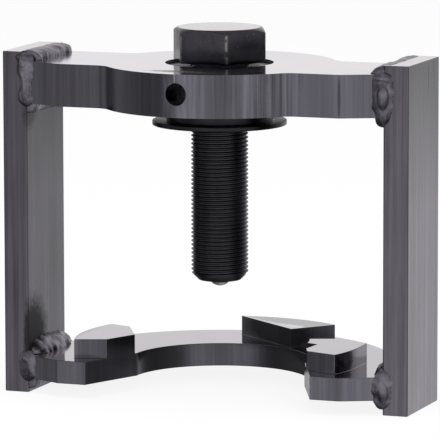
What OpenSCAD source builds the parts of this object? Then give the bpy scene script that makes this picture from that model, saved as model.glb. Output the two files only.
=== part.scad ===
// Brake arm puller: a welded frame of two side bars, a crosshead and a horseshoe yoke, with a flanged
// threaded bushing and a hex-headed forcing screw. Millimetres, +Z up. The origin is on the screw's axis,
// at the level of the feet; X runs from bar to bar and the mouth of the yoke opens towards -Y.

/* [Side bars] */
// Width over both side bars
overall_w = 190.5; // [184:0.5:230]
// Thickness of a side bar
bar_t = 11.5; // [8:0.5:13]
// Depth of a side bar, front to back
bar_d = 43.3; // [38:0.1:50]
// Height of a side bar
bar_h = 153.8; // [140:0.1:220]
// Flat broken on a bar's long edges
bar_edge = 0.5; // [0.2:0.1:1.5]

/* [Plates] */
// Thickness of the plate that the crosshead and the yoke are cut from
plate_t = 19.05; // [16:0.05:25]
// From the screw's axis to the front edge of both plates
arm_front = 30; // [27:0.5:34]
// Length of the tapered end of each arm
taper_l = 17.4; // [10:0.1:22]

/* [Crosshead] */
// Depth of the crosshead's top below the tops of the bars
cross_drop = 3.8; // [1:0.1:8]
// Diameter of the boss round the bushing
boss_d = 104; // [96:1:112]
// Radius that blends the boss into the arms
blend_r = 9; // [4:0.5:12]

/* [Yoke] */
// Height of the yoke's underside above the feet
yoke_lift = 6.5; // [6:0.1:20]
// Gap between the round of the horseshoe and the side bars
yoke_gap = 6.65; // [6:0.05:12]
// Radius that blends the horseshoe into its arms
yoke_blend_r = 4; // [2:0.5:6]
// Diameter of the throat
throat_d = 80; // [72:0.5:88]
// Width of the mouth between the tips of the horns
mouth_w = 106; // [92:1:116]

/* [Jaws] */
// Height of the jaws above the milled floor of the yoke
jaw_h = 8.65; // [4:0.05:11]
// Diameter of the circle that the jaws' outer faces lie on
jaw_d = 130.4; // [122:0.2:136]
// Half angle of the sector that a side jaw fills
jaw_half_angle = 20.2; // [15:0.1:23]
// Turn of the right jaw about the screw's axis
right_jaw_turn = 1; // [-2:0.1:3]
// Radius at which the relief on the left jaw meets its back face
relief_r = 54; // [48:0.5:58]
// Distance of the relief from the throat, at the throat's end
relief_foot = 1; // [0.5:0.1:4]
// Depth of the notch in the right jaw
notch_depth = 5.3; // [2:0.1:9]
// Width of the notch's mouth above the end of the throat
notch_above = 4.1; // [2:0.1:8]
// Width of the notch's mouth below the end of the throat
notch_below = 9.8; // [3:0.1:12]
// Height of the notch's point above the end of the throat
notch_point = 2; // [-2:0.1:4]
// Radius at which the cut across the right jaw's back corner starts
corner_r = 56; // [50:0.5:60]
// Direction in which that cut meets the jaw's outer face
corner_angle = 10.6; // [4:0.1:14]
// Wall that the rear jaw's point keeps from the throat
rear_wall = 2; // [0.5:0.1:4]
// Direction of the rear jaw's point
rear_point_angle = 60.5; // [56:0.5:70]
// Direction of the rear jaw's right corner
rear_right_angle = 57; // [48:0.1:60]
// Direction of the rear jaw's left corner
rear_left_angle = 101.7; // [90:0.1:108]

/* [Threaded bushing] */
// Diameter of the bushing's sleeve
sleeve_d = 47.6; // [42:0.1:54]
// Length of the bushing, with its flange
bushing_l = 26; // [25:0.1:34]
// Radial clearance between the sleeve and the crosshead
sleeve_fit = 0.3; // [0.05:0.05:0.6]
// Diameter of the flange
flange_d = 59.8; // [57:0.2:70]
// Thickness of the flange
flange_t = 2; // [1:0.1:5]
// Gap between the flange and the crosshead's underside
bushing_hang = 6.5; // [0:0.1:9]
// Chamfer on the bushing's edges
bushing_edge = 0.6; // [0.2:0.1:0.9]

/* [Lock screw] */
// Diameter of the lock screw and of its hole
lock_d = 9.5; // [8:0.5:12]
// Height of the lock screw's axis above the crosshead's underside
lock_up = 10.2; // [9:0.1:12]
// Length of the lock screw
lock_l = 12.7; // [10:0.1:20]
// Turn of the lock screw about the forcing screw's axis
lock_turn = -1.1; // [-4:0.1:4]
// Clearance round the lock screw
lock_fit = 0.05; // [0.02:0.01:0.2]
// Diameter of the lock screw's dog point
dog_d = 6; // [4:0.1:6.8]
// Depth of the dog point's seat in the sleeve
dog_seat = 1.2; // [0.8:0.1:2]
// Size of the lock screw's hex socket across its flats
lock_socket = 4.76; // [3:0.1:5]
// Chamfer at the mouth of the lock screw's hole
lock_mouth = 0.3; // [0.2:0.1:1.5]

/* [Forcing screw] */
// Thread diameter of the forcing screw
screw_d = 25.4; // [20:0.2:28]
// Radial clearance between the thread's crests and the bushing
thread_fit = 0.05; // [0.02:0.01:0.1]
// Length of the shank from under the head to the end of the thread
shank_l = 97.5; // [80:0.5:102]
// Gap between the head and the bushing, as the screw is set
head_gap = 1.95; // [0.05:0.05:30]
// Size of the head across its flats
head_af = 38.1; // [30:0.1:40.5]
// Height of the head, with its washer face
head_h = 15.5; // [10:0.1:24]
// Distance that the flat circle on top of the head stays inside the flats
head_crown_in = 0.45; // [0.1:0.05:2]
// Slope of the chamfer round the head
head_chamfer = 30; // [15:1:40]
// Thickness of the washer face under the head
washer_t = 0.4; // [0.2:0.1:1]
// Distance that the washer face stays inside the flats
washer_in = 0.75; // [0.2:0.05:2]
// Turn of the head from square with the bars
head_turn = -1.3; // [-30:0.1:30]
// Chamfer at the end of the thread
end_chamfer = 3.2; // [1:0.1:5]

/* [Tip] */
// Diameter of the ball
ball_d = 11.11; // [6:0.01:12.7]
// Distance that the ball stands out of the nose
ball_out = 2; // [1:0.1:2.4]
// Clearance round the ball
ball_fit = 0.05; // [0.02:0.01:0.1]
// Height of the nose below the end of the thread
nose_h = 1; // [0.5:0.1:3]
// Diameter of the nose where it leaves the shank
nose_d = 10.8; // [10:0.1:13]
// Width of the nose's lip round the ball
nose_lip = 0.5; // [0.3:0.1:1]

/* [Welds] */
// Leg of the fillets on top of the plates
weld_leg = 6.5; // [3:0.1:7]
// Leg of the fillets under the plates
weld_low_leg = 4.8; // [3:0.1:5]
// Leg of the front and back runs
weld_face_leg = 4.8; // [3:0.1:5.2]
// Height of the crown on a weld
weld_crown = 1.3; // [0.5:0.1:2.5]
// Height of the crown on the top welds of the crosshead, which are flatter
weld_flat_crown = 0.7; // [0.4:0.1:1.5]
// Distance that the front and back runs stand out past the plates
weld_over = 0.8; // [0.4:0.1:3]
// Distance between the ripples of a weld
ripple_pitch = 4; // [3:0.1:6]
// Depth of the ripples, as a share of the weld
ripple = 0.06; // [0:0.01:0.1]
// Unevenness of a weld along its length, as a share of it
swell = 0.1; // [0:0.01:0.15]

/* [Hidden] */

$fn = 96;
// Distance that cutters run past a surface
over = 1;
// How far outside an outline the far corners of a clipping polygon lie
reach = 1.6;
// How far a blending round cuts into the two edges that it joins, so that it crosses them
bite = 0.05;

bar_in = overall_w / 2 - bar_t;
arm_back = bar_d / 2;
shoulder_x = bar_in - taper_l;
taper_angle = atan2(arm_front - arm_back, taper_l);

cross_top = bar_h - cross_drop;
cross_bottom = cross_top - plate_t;
boss_r = boss_d / 2;
bore_r = sleeve_d / 2 + sleeve_fit;

yoke_r = bar_in - yoke_gap;
throat_r = throat_d / 2;
yoke_floor = yoke_lift + plate_t - jaw_h;
jaw_r = jaw_d / 2;

flange_top = cross_bottom - bushing_hang;
flange_bottom = flange_top - flange_t;
sleeve_top = flange_bottom + bushing_l;
lock_z = cross_bottom + lock_up;

head_bottom = sleeve_top + head_gap;
shank_end = head_bottom - shank_l;
ball_r = ball_d / 2;
nose_end = shank_end - nose_h;
ball_z = nose_end - ball_out + ball_r;
// Radius of the ball's socket where the nose ends
socket_r = ball_r + ball_fit;
socket_mouth_r = sqrt(socket_r * socket_r - (ball_z - nose_end) * (ball_z - nose_end));

function polar(r, a) = [r * cos(a), r * sin(a)];

// Half width of the mouth at a distance in front of the screw's axis
function mouth_x(front) = throat_r + (mouth_w / 2 - throat_r) * front / arm_front;

// Everything below the top of a plate at the arms: straight front, tapered ends
module arms_outline() {
    polygon([
        [-bar_in, -arm_back], [-shoulder_x, -arm_front], [shoulder_x, -arm_front], [bar_in, -arm_back],
        [bar_in, arm_back], [-bar_in, arm_back]
    ]);
}

// Fills the corners where a round of radius r meets a straight edge at distance edge_y from its centre
module blend_corners(r, f, edge_y) {
    x = sqrt((r + f) * (r + f) - (edge_y + f) * (edge_y + f));
    touch = polar(r, atan2(edge_y + f, x));
    for (side = [-1, 1])
        scale([side, 1])
            difference() {
                polygon([[0, 0], [x, edge_y], [x, edge_y + f], touch]);
                translate([x, edge_y + f]) circle(r = f + bite);
            }
}

module crosshead_outline() {
    arms_outline();
    circle(r = boss_r);
    blend_corners(boss_r, blend_r, arm_back);
    mirror([0, 1]) blend_corners(boss_r, blend_r, arm_front);
}

module throat_outline() {
    far = arm_front + over;
    circle(r = throat_r);
    polygon([[-mouth_x(-over), over], [-mouth_x(far), -far], [mouth_x(far), -far], [mouth_x(-over), over]]);
}

module yoke_outline() {
    difference() {
        union() {
            arms_outline();
            difference() {
                circle(r = yoke_r);
                translate([-yoke_r - over, -yoke_r - over])
                    square([2 * (yoke_r + over), yoke_r + over - arm_back]);
            }
            blend_corners(yoke_r, yoke_blend_r, arm_back);
        }
        throat_outline();
    }
}

// A point past the second of two points, on the line through both
function past(from, to, share) = to + (to - from) * share;

// Wedge from the screw's axis between two directions
module wedge(from, to) {
    polygon([[0, 0], polar(jaw_r * reach, from), polar(jaw_r * reach, to)]);
}

module left_jaw_outline() {
    top = polar(relief_r, jaw_half_angle);
    foot = [throat_r + relief_foot, 0];
    mirror([1, 0])
        difference() {
            intersection() {
                circle(r = jaw_r);
                wedge(-jaw_half_angle, jaw_half_angle);
            }
            polygon([[0, 0], past(top, foot, 0.2), past(foot, top, 0.2), polar(relief_r, 90)]);
        }
}

// The outer face is round up to the jaw's middle and runs on flat from there to the cut corner
module right_jaw_outline() {
    top = polar(throat_r, asin(notch_above / throat_r));
    bottom = [mouth_x(notch_below), -notch_below];
    point = [throat_r + notch_depth, notch_point];
    corner_in = polar(corner_r, jaw_half_angle + right_jaw_turn);
    corner_out = [jaw_r, jaw_r * tan(corner_angle)];
    difference() {
        intersection() {
            union() {
                circle(r = jaw_r);
                square(jaw_r);
            }
            wedge(right_jaw_turn - jaw_half_angle, right_jaw_turn + jaw_half_angle);
        }
        polygon([[0, 0], past(point, bottom, 0.3), point, past(point, top, 0.3)]);
        polygon([past(corner_out, corner_in, 0.5), past(corner_in, corner_out, 0.5), [jaw_r, jaw_r]]);
    }
}

module rear_jaw_outline() {
    point = polar(throat_r + rear_wall, rear_point_angle);
    right = polar(jaw_r, rear_right_angle);
    left = polar(jaw_r, rear_left_angle);
    middle = (rear_right_angle + rear_left_angle) / 2;
    intersection() {
        circle(r = jaw_r);
        polygon([point, past(point, right, 0.6), polar(jaw_r * reach, middle), past(point, left, 0.6)]);
    }
}

module side_bar() {
    e = bar_edge;
    color("dimgray")
        translate([bar_in, -bar_d / 2, 0])
            linear_extrude(height = bar_h)
                polygon([
                    [e, 0], [bar_t - e, 0], [bar_t, e], [bar_t, bar_d - e],
                    [bar_t - e, bar_d], [e, bar_d], [0, bar_d - e], [0, e]
                ]);
}

module left_bar() {
    mirror([1, 0, 0]) side_bar();
}

module right_bar() {
    side_bar();
}

module lock_hole() {
    translate([0, 0, lock_z]) rotate([90, 0, 0]) cylinder(h = boss_r + over, d = lock_d);
    translate([0, -boss_r + lock_mouth, lock_z])
        rotate([90, 0, 0]) cylinder(h = 2 * lock_mouth, d1 = lock_d, d2 = lock_d + 4 * lock_mouth);
}

module crosshead() {
    color("slategray")
        difference() {
            translate([0, 0, cross_bottom]) linear_extrude(height = plate_t) crosshead_outline();
            translate([0, 0, cross_bottom - over]) cylinder(h = plate_t + 2 * over, r = bore_r);
            rotate([0, 0, lock_turn]) lock_hole();
        }
}

// Plate milled down to a floor, from which the three jaws stand up
module yoke() {
    color("slategray")
        difference() {
            translate([0, 0, yoke_lift]) linear_extrude(height = plate_t) yoke_outline();
            translate([0, 0, yoke_floor])
                linear_extrude(height = jaw_h + over)
                    difference() {
                        square(overall_w, center = true);
                        left_jaw_outline();
                        right_jaw_outline();
                        rear_jaw_outline();
                    }
        }
}

module threaded_bushing() {
    e = bushing_edge;
    inner = screw_d / 2 + thread_fit;
    sleeve_r = sleeve_d / 2;
    flange_r = flange_d / 2;
    color("black")
        difference() {
            rotate_extrude()
                polygon([
                    [inner + e, flange_bottom], [flange_r - e / 2, flange_bottom],
                    [flange_r, flange_bottom + e / 2], [flange_r, flange_top - e / 2],
                    [flange_r - e / 2, flange_top], [sleeve_r, flange_top],
                    [sleeve_r, sleeve_top - e], [sleeve_r - e, sleeve_top],
                    [inner + e, sleeve_top], [inner, sleeve_top - e], [inner, flange_bottom + e]
                ]);
            rotate([0, 0, lock_turn])
                translate([0, -sleeve_r + dog_seat, lock_z])
                    rotate([90, 0, 0]) cylinder(h = dog_seat + over, d = dog_d + 2 * lock_fit);
        }
}

// Socket set screw: dog point on the sleeve, body in the cross hole, hex socket towards the front
module lock_screw() {
    body_d = lock_d - 2 * lock_fit;
    dog_l = dog_seat + sleeve_fit + over;
    color("darkslategray")
        rotate([0, 0, lock_turn]) translate([0, -sleeve_d / 2 + dog_seat, lock_z])
            rotate([90, 0, 0])
                difference() {
                    union() {
                        cylinder(h = dog_l, d = dog_d);
                        translate([0, 0, dog_l]) cylinder(h = over, d1 = dog_d, d2 = body_d);
                        translate([0, 0, dog_l + over]) cylinder(h = lock_l - dog_l - over, d = body_d);
                    }
                    translate([0, 0, lock_l / 2])
                        cylinder(h = lock_l, d = lock_socket / cos(30), $fn = 6);
                }
}

module screw_head() {
    corner_r = head_af / 2 / cos(30);
    crown_r = head_af / 2 - head_crown_in;
    rise = (corner_r - crown_r + over) * tan(head_chamfer);
    cylinder(h = washer_t, r = head_af / 2 - washer_in);
    rotate([0, 0, head_turn])
        intersection() {
            translate([0, 0, washer_t]) cylinder(h = head_h - washer_t, r = corner_r, $fn = 6);
            union() {
                cylinder(h = head_h - rise, r = corner_r + over);
                translate([0, 0, head_h - rise]) cylinder(h = rise, r1 = corner_r + over, r2 = crown_r);
            }
        }
}

module forcing_screw() {
    r = screw_d / 2;
    color("black")
        difference() {
            union() {
                translate([0, 0, head_bottom]) screw_head();
                rotate_extrude()
                    polygon([
                        [0, nose_end], [socket_mouth_r + nose_lip, nose_end], [nose_d / 2, shank_end],
                        [r - end_chamfer, shank_end], [r, shank_end + end_chamfer], [r, head_bottom + washer_t],
                        [0, head_bottom + washer_t]
                    ]);
            }
            translate([0, 0, ball_z]) sphere(r = socket_r);
        }
}

module tip_ball() {
    color("silver") translate([0, 0, ball_z]) sphere(r = ball_r);
}

// Closed skin over rings with equally many points
module skin(rings) {
    n = len(rings[0]);
    last = len(rings) - 1;
    polyhedron(
        points = [for (ring = rings) each ring],
        faces = concat(
            [[for (j = [0:n - 1]) j], [for (j = [n - 1:-1:0]) last * n + j]],
            [for (i = [0:last - 1], j = [0:n - 1])
                let (k = (j + 1) % n) each [
                    [i * n + j, (i + 1) * n + j, (i + 1) * n + k],
                    [i * n + j, (i + 1) * n + k, i * n + k]
                ]]
        )
    );
}

// Points on the crown of a weld, across its section
crown_steps = 5;

// Section of a fillet: its corner, then the crown from one leg round to the other leg at the given angle
function fillet_section(leg_a, leg_b, angle, crown) = concat(
    angle == 180 ? [] : [[0, 0]],
    [for (i = [0:crown_steps])
        let (t = i / crown_steps)
        [leg_a * (1 - t), 0] + polar(leg_b * t, angle) + polar(crown * sin(180 * t), angle / 2)]
);

// Size of a weld at one of its stations: ripples, slow swells and rounded ends
function weld_size(i, n, seed) =
    (1 + ripple * (i % 2 == 0 ? -1 : 1) + swell * sin(83 * i + 61 * seed))
    * (i == 0 || i == n ? 0.6 : (i == 1 || i == n - 1 ? 0.9 : 1));

function stations(length) = 2 * max(2, round(length / ripple_pitch));

// Weld along +Z with its corner on the Z axis, its first leg along +X
module fillet_weld(length, leg_a, leg_b, angle, crown, seed) {
    n = stations(length);
    color("gray")
        skin([for (i = [0:n])
            let (s = weld_size(i, n, seed))
            [for (p = fillet_section(leg_a * s, leg_b * s, angle, crown * s)) [p.x, p.y, length * i / n]]]);
}

// Puts a weld's section in the XZ plane at a right bar's inner face, its length from front to back
module seam_at(z) {
    translate([bar_in, -bar_d / 2, z])
        multmatrix([[-1, 0, 0, 0], [0, 0, 1, 0], [0, 1, 0, 0], [0, 0, 0, 1]]) children();
}

// Reaches up to the top edge of the bar
module crosshead_top_weld(seed) {
    seam_at(cross_top) fillet_weld(bar_d, weld_leg, cross_drop, 90, weld_flat_crown, seed);
}

module crosshead_bottom_weld(seed) {
    seam_at(cross_bottom)
        mirror([0, 1, 0]) fillet_weld(bar_d, weld_low_leg, weld_low_leg, 90, weld_crown, seed);
}

module yoke_top_weld(seed) {
    seam_at(yoke_floor) fillet_weld(bar_d, weld_leg, weld_leg, 90, weld_crown, seed);
}

module yoke_bottom_weld(seed) {
    seam_at(yoke_lift) mirror([0, 1, 0]) fillet_weld(bar_d, weld_low_leg, weld_low_leg, 90, weld_crown, seed);
}

// Run across the front of a bar and the tapered end of a plate that lies between two heights
module front_weld(bottom, top, seed) {
    translate([bar_in, -arm_back, bottom - weld_over])
        rotate([0, 0, 180 + taper_angle])
            fillet_weld(top - bottom + 2 * weld_over, weld_face_leg, weld_face_leg,
                180 - taper_angle, 2 * weld_crown, seed);
}

// Run across the back of a bar and the back edge of a plate, which are flush
module back_weld(bottom, top, seed) {
    translate([bar_in, arm_back, bottom - weld_over])
        fillet_weld(top - bottom + 2 * weld_over, weld_face_leg, weld_face_leg, 180, 1.5 * weld_crown, seed);
}

module crosshead_left_top_weld() { mirror([1, 0, 0]) crosshead_top_weld(1); }
module crosshead_left_bottom_weld() { mirror([1, 0, 0]) crosshead_bottom_weld(2); }
module crosshead_left_front_weld() { mirror([1, 0, 0]) front_weld(cross_bottom, cross_top, 3); }
module crosshead_left_back_weld() { mirror([1, 0, 0]) back_weld(cross_bottom, cross_top, 4); }
module crosshead_right_top_weld() { crosshead_top_weld(5); }
module crosshead_right_bottom_weld() { crosshead_bottom_weld(6); }
module crosshead_right_front_weld() { front_weld(cross_bottom, cross_top, 7); }
module crosshead_right_back_weld() { back_weld(cross_bottom, cross_top, 8); }
module yoke_left_top_weld() { mirror([1, 0, 0]) yoke_top_weld(9); }
module yoke_left_bottom_weld() { mirror([1, 0, 0]) yoke_bottom_weld(10); }
module yoke_left_front_weld() { mirror([1, 0, 0]) front_weld(yoke_lift, yoke_floor, 11); }
module yoke_left_back_weld() { mirror([1, 0, 0]) back_weld(yoke_lift, yoke_floor, 12); }
module yoke_right_top_weld() { yoke_top_weld(13); }
module yoke_right_bottom_weld() { yoke_bottom_weld(14); }
module yoke_right_front_weld() { front_weld(yoke_lift, yoke_floor, 15); }
module yoke_right_back_weld() { back_weld(yoke_lift, yoke_floor, 16); }

left_bar();
right_bar();
crosshead();
yoke();
crosshead_left_top_weld();
crosshead_left_bottom_weld();
crosshead_left_front_weld();
crosshead_left_back_weld();
crosshead_right_top_weld();
crosshead_right_bottom_weld();
crosshead_right_front_weld();
crosshead_right_back_weld();
yoke_left_top_weld();
yoke_left_bottom_weld();
yoke_left_front_weld();
yoke_left_back_weld();
yoke_right_top_weld();
yoke_right_bottom_weld();
yoke_right_front_weld();
yoke_right_back_weld();
threaded_bushing();
lock_screw();
forcing_screw();
tip_ball();
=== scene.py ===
"""Dresses the brake arm puller: oiled dark steel, rippled welds, a real thread, and its stage."""
import math
import random

import bmesh
import bpy
from mathutils import Matrix, Vector, noise


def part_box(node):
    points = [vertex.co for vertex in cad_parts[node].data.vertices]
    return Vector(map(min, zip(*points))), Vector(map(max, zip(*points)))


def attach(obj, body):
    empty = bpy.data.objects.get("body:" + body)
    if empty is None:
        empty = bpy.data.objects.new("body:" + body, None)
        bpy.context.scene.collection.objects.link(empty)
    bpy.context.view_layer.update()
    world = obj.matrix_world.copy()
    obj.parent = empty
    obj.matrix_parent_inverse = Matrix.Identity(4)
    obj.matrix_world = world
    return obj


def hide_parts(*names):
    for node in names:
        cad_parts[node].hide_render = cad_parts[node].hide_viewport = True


bl_info = {
    "name": "Brake arm puller",
    "version": (1, 0, 0),
    "blender": (4, 5, 0),
    "location": "3D View > Sidebar > Puller",
    "description": "Finishes a welded puller with a hex-headed forcing screw",
    "category": "Add Mesh",
}

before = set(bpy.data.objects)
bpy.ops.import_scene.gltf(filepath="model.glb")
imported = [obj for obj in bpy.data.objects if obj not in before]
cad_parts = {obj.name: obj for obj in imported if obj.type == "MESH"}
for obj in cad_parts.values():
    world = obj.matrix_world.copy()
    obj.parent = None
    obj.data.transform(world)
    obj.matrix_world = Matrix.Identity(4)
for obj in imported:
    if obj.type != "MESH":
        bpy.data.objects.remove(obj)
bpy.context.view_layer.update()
MM = 0.001


def box_mm(node):
    """Lowest and highest corner of a CAD node, in millimetres."""
    low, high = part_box(node)
    return low / MM, high / MM


BAR_LOW, BAR_HIGH = box_mm("right_bar")
CROSS_LOW, CROSS_HIGH = box_mm("crosshead")
YOKE_LOW, YOKE_HIGH = box_mm("yoke")
BUSHING_LOW, BUSHING_HIGH = box_mm("threaded_bushing")
SCREW_LOW, SCREW_HIGH = box_mm("forcing_screw")
BALL_LOW, BALL_HIGH = box_mm("tip_ball")

# The bars' inner faces, by their distance from the middle, and the bars' front faces
BAR_IN = BAR_LOW.x
BAR_FRONT = BAR_LOW.y
# The milled floor that the jaws stand on, which is where the yoke's top welds start
YOKE_FLOOR = box_mm("yoke_right_top_weld")[0].z
# Where the taper at the end of an arm starts, and the arms' front edge
SHOULDER = BAR_IN - 17.4
ARM_FRONT = -30.0
# Width of the top welds on the plates, and of the legs of most others
TOP_LEG = 6.5
LEG = 4.8
# Vertices this close are one
SAME_SPOT = 0.001 * MM
TURN = 2 * math.pi


class Wire:
    """A value in a material. Arithmetic on it adds Math nodes."""

    def __init__(self, finish, socket):
        self.finish = finish
        self.socket = socket

    def _math(self, operation, first, second):
        return self.finish.node("ShaderNodeMath", {"operation": operation}, {0: first, 1: second})

    def __add__(self, other):
        return self._math("ADD", self, other)

    def __radd__(self, other):
        return self._math("ADD", other, self)

    def __sub__(self, other):
        return self._math("SUBTRACT", self, other)

    def __rsub__(self, other):
        return self._math("SUBTRACT", other, self)

    def __mul__(self, other):
        return self._math("MULTIPLY", self, other)

    def __rmul__(self, other):
        return self._math("MULTIPLY", other, self)


class Finish:
    """A material being built, or the world, with the place on the piece as its first wire."""

    def __init__(self, name, world=False):
        self.data = (bpy.data.worlds if world else bpy.data.materials).new(name)
        self.data.use_nodes = True
        self.tree = self.data.node_tree
        self.tree.nodes.clear()
        self.place = self.node("ShaderNodeTexCoord", output="Generated" if world else "Object")

    def node(self, kind, settings=None, inputs=None, output=0):
        """Adds any node: its settings first, then the values or wires of its sockets."""
        made = self.tree.nodes.new(kind)
        for key, value in (settings or {}).items():
            if key == "stops":
                self._set_stops(made.color_ramp, value)
            else:
                setattr(made, key, value)
        for key, value in (inputs or {}).items():
            if isinstance(value, Wire):
                self.tree.links.new(value.socket, made.inputs[key])
            else:
                made.inputs[key].default_value = value
        return Wire(self, made.outputs[output])

    @staticmethod
    def _set_stops(ramp, stops):
        while len(ramp.elements) < len(stops):
            ramp.elements.new(0.5)
        for element, (position, grey) in zip(ramp.elements, stops):
            element.position = position
            element.color = (grey, grey, grey, 1.0)

    def cloud(self, per_mm, detail=4.0, roughness=0.55, turn=(0, 0, 0), shift=(0, 0, 0)):
        """Noise from 0 to 1, with that many features in a millimetre along each axis."""
        scale = [s / MM for s in per_mm]
        inputs = {"Vector": self.place, "Location": shift, "Rotation": turn, "Scale": scale}
        place = self.node("ShaderNodeMapping", inputs=inputs)
        inputs = {"Vector": place, "Scale": 1.0, "Detail": detail, "Roughness": roughness}
        return self.node("ShaderNodeTexNoise", inputs=inputs)

    def axis(self, name):
        """One coordinate of the place on the piece, in millimetres."""
        split = self.node("ShaderNodeSeparateXYZ", inputs={0: self.place}, output="XYZ".index(name))
        return split * (1 / MM)

    def ramp(self, value, low, high, bottom=0.0, top=1.0):
        """Runs from bottom to top while the value runs from low to high."""
        inputs = {"Value": value, "From Min": low, "From Max": high, "To Min": bottom, "To Max": top}
        return self.node("ShaderNodeMapRange", inputs=inputs)

    def mix(self, share, first, second):
        """Mixes two colours."""
        inputs = {0: share, 6: self.colour(first), 7: self.colour(second)}
        return self.node("ShaderNodeMix", {"data_type": "RGBA"}, inputs, output=2)

    def shaded(self, colour, factor):
        """A colour made lighter or darker by a factor that changes over the surface."""
        first = colour if isinstance(colour, Wire) else Vector(colour)
        return self.node("ShaderNodeVectorMath", {"operation": "SCALE"}, {0: first, 3: factor})

    def streaks(self, fine, bands, blotches, seed=0.0, share=1.0):
        """Tone about 1 in upright streaks, and its fine lines, by shares of lines, bands and blotches."""
        lines = self.cloud((0.75, 0.75, 0.012), detail=4.0, roughness=0.6, shift=(seed, 0, 0))
        wide = self.cloud((0.16, 0.16, 0.005), detail=2.0, shift=(0, seed, 0))
        soft = self.cloud((0.045, 0.045, 0.03), detail=3.0, shift=(0, 0, seed))
        tone = 1 + ((lines - 0.5) * fine + (wide - 0.5) * bands) * share + (soft - 0.5) * blotches
        return self.ramp(tone, 0.15, 3.0, 0.15, 3.0), lines

    def along_x(self, stops):
        """A tone that changes from the left bar to the right one, by (place in millimetres, tone) stops."""
        share = self.ramp(self.axis("X"), -BAR_HIGH.x, BAR_HIGH.x)
        most = max(tone for _, tone in stops)
        spots = [((place + BAR_HIGH.x) / (2 * BAR_HIGH.x), tone / most) for place, tone in stops]
        return self.node("ShaderNodeValToRGB", {"stops": spots}, {0: share}) * most

    def patch(self, centre, reach, ragged=0.0):
        """A soft patch: 1 round its centre and 0 past its reach along each axis, in millimetres."""
        inputs = {
            "Vector": self.place,
            "Location": [-c / r for c, r in zip(centre, reach)],
            "Scale": [1 / (r * MM) for r in reach],
        }
        place = self.node("ShaderNodeMapping", inputs=inputs)
        away = self.node("ShaderNodeVectorMath", {"operation": "LENGTH"}, {0: place}, output=1)
        if ragged:
            away = away + (self.cloud((0.5, 0.5, 0.5), detail=3.0) - 0.5) * ragged
        return self.ramp(away, 0.55, 1.0, 1.0, 0.0)

    @staticmethod
    def colour(value):
        """A colour as a socket takes it, from a wire or from three numbers."""
        return value if isinstance(value, Wire) else (*value, 1.0)

    def bump(self, height, depth):
        """Raises the surface by the height times the depth in millimetres."""
        return self.node("ShaderNodeBump", inputs={"Height": height, "Distance": depth * MM, "Strength": 1.0})

    def surface(self, colour, roughness, normal, coat=0.0, coat_roughness=0.05, painted_shade_and_marks=None):
        """The finished metal surface, and how much of it a matt black skin covers, if any: painted shade, and
        dark marks.
        """
        inputs = {
            "Base Color": self.colour(colour),
            "Roughness": roughness,
            "Metallic": 1.0,
            "Normal": normal,
            "Coat Weight": coat,
            "Coat Roughness": coat_roughness,
        }
        metal = self.node("ShaderNodeBsdfPrincipled", inputs=inputs)
        if painted_shade_and_marks:
            skin = {"Base Color": (0.012, 0.011, 0.013, 1), "Roughness": 0.6, "Specular IOR Level": 0.15}
            black = self.node("ShaderNodeBsdfPrincipled", inputs=skin)
            metal = self.node("ShaderNodeMixShader", inputs={0: painted_shade_and_marks, 1: metal, 2: black})
        return self.output(metal)

    def output(self, shader):
        """Ends the tree in a shader, and gives the material or the world itself."""
        world = isinstance(self.data, bpy.types.World)
        out = self.tree.nodes.new("ShaderNodeOutputWorld" if world else "ShaderNodeOutputMaterial")
        self.tree.links.new(shader.socket, out.inputs["Surface"])
        return self.data


def shade(colour, factor):
    """A plain colour made lighter or darker all over."""
    return [c * factor for c in colour]


def oiled_steel(name, colour, grain, roughness, depth, contrast=0.6):
    """Blackened steel with an even grain of the given features per millimetre along each axis."""
    finish = Finish(name)
    fine = finish.cloud(grain, detail=5.0, roughness=0.6)
    clouds = finish.cloud((0.08, 0.08, 0.06), detail=3.0)
    tone = 1 + (fine - 0.5) * contrast + (clouds - 0.5) * contrast
    rough = finish.ramp(clouds, 0.3, 0.7, roughness * 0.85, roughness * 1.15)
    return finish.surface(finish.shaded(colour, tone), rough, finish.bump(fine, depth))


def bar_face(name, colour, left, right, top=0.85, roughness=0.24):
    """A bar's rolled face with painted light. left and right are the painted tones at the two bars, top the
    painted tone at its upper end.
    """
    finish = Finish(name)
    tone, lines = finish.streaks(1.3, 0.8, 0.4)
    # Painted light: the right bar's faces lighter than the left bar's
    place = finish.ramp(finish.axis("X"), -BAR_IN, BAR_IN, left, right)
    # Painted light and shade: the foot is a little lighter than the middle, and the upper third runs to the
    # tone at the top
    rise = finish.axis("Z")
    foot, middle, shoulder, end = 20, 80, 90, 150
    height = finish.ramp(rise, shoulder, end, 1.0, top) * finish.ramp(rise, foot, middle, 1.12, 1.0)
    # Painted shade on the left bar's inner face by the welds and under the crosshead, and two dark marks high
    # on the right bar
    painted_shade = finish.patch((-BAR_IN, BAR_FRONT + 6, YOKE_FLOOR + 8), (3, 18, 21), 0.5)
    painted_shade = painted_shade + finish.patch((-BAR_IN, BAR_FRONT + 4, CROSS_LOW.z - 4), (3, 8, 9), 0.6) * 0.5
    marks = finish.patch((BAR_HIGH.x, 6.5, BAR_HIGH.z - 8), (2, 0.5, 9), 0.4)
    marks = marks + finish.patch((BAR_HIGH.x, 14, BAR_HIGH.z - 5), (2, 0.4, 6), 0.4)
    shades = finish.shaded(colour, tone * place * height)
    rough = finish.ramp(lines, 0.3, 0.7, roughness * 0.85, roughness * 1.15)
    # Painted shade and the two marks, as a matt black skin
    painted_shade_and_marks = finish.ramp(painted_shade * 0.93 + marks * 0.5, 0.0, 1.0)
    return finish.surface(shades, rough, finish.bump(lines, 0.006), painted_shade_and_marks=painted_shade_and_marks)


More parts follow.
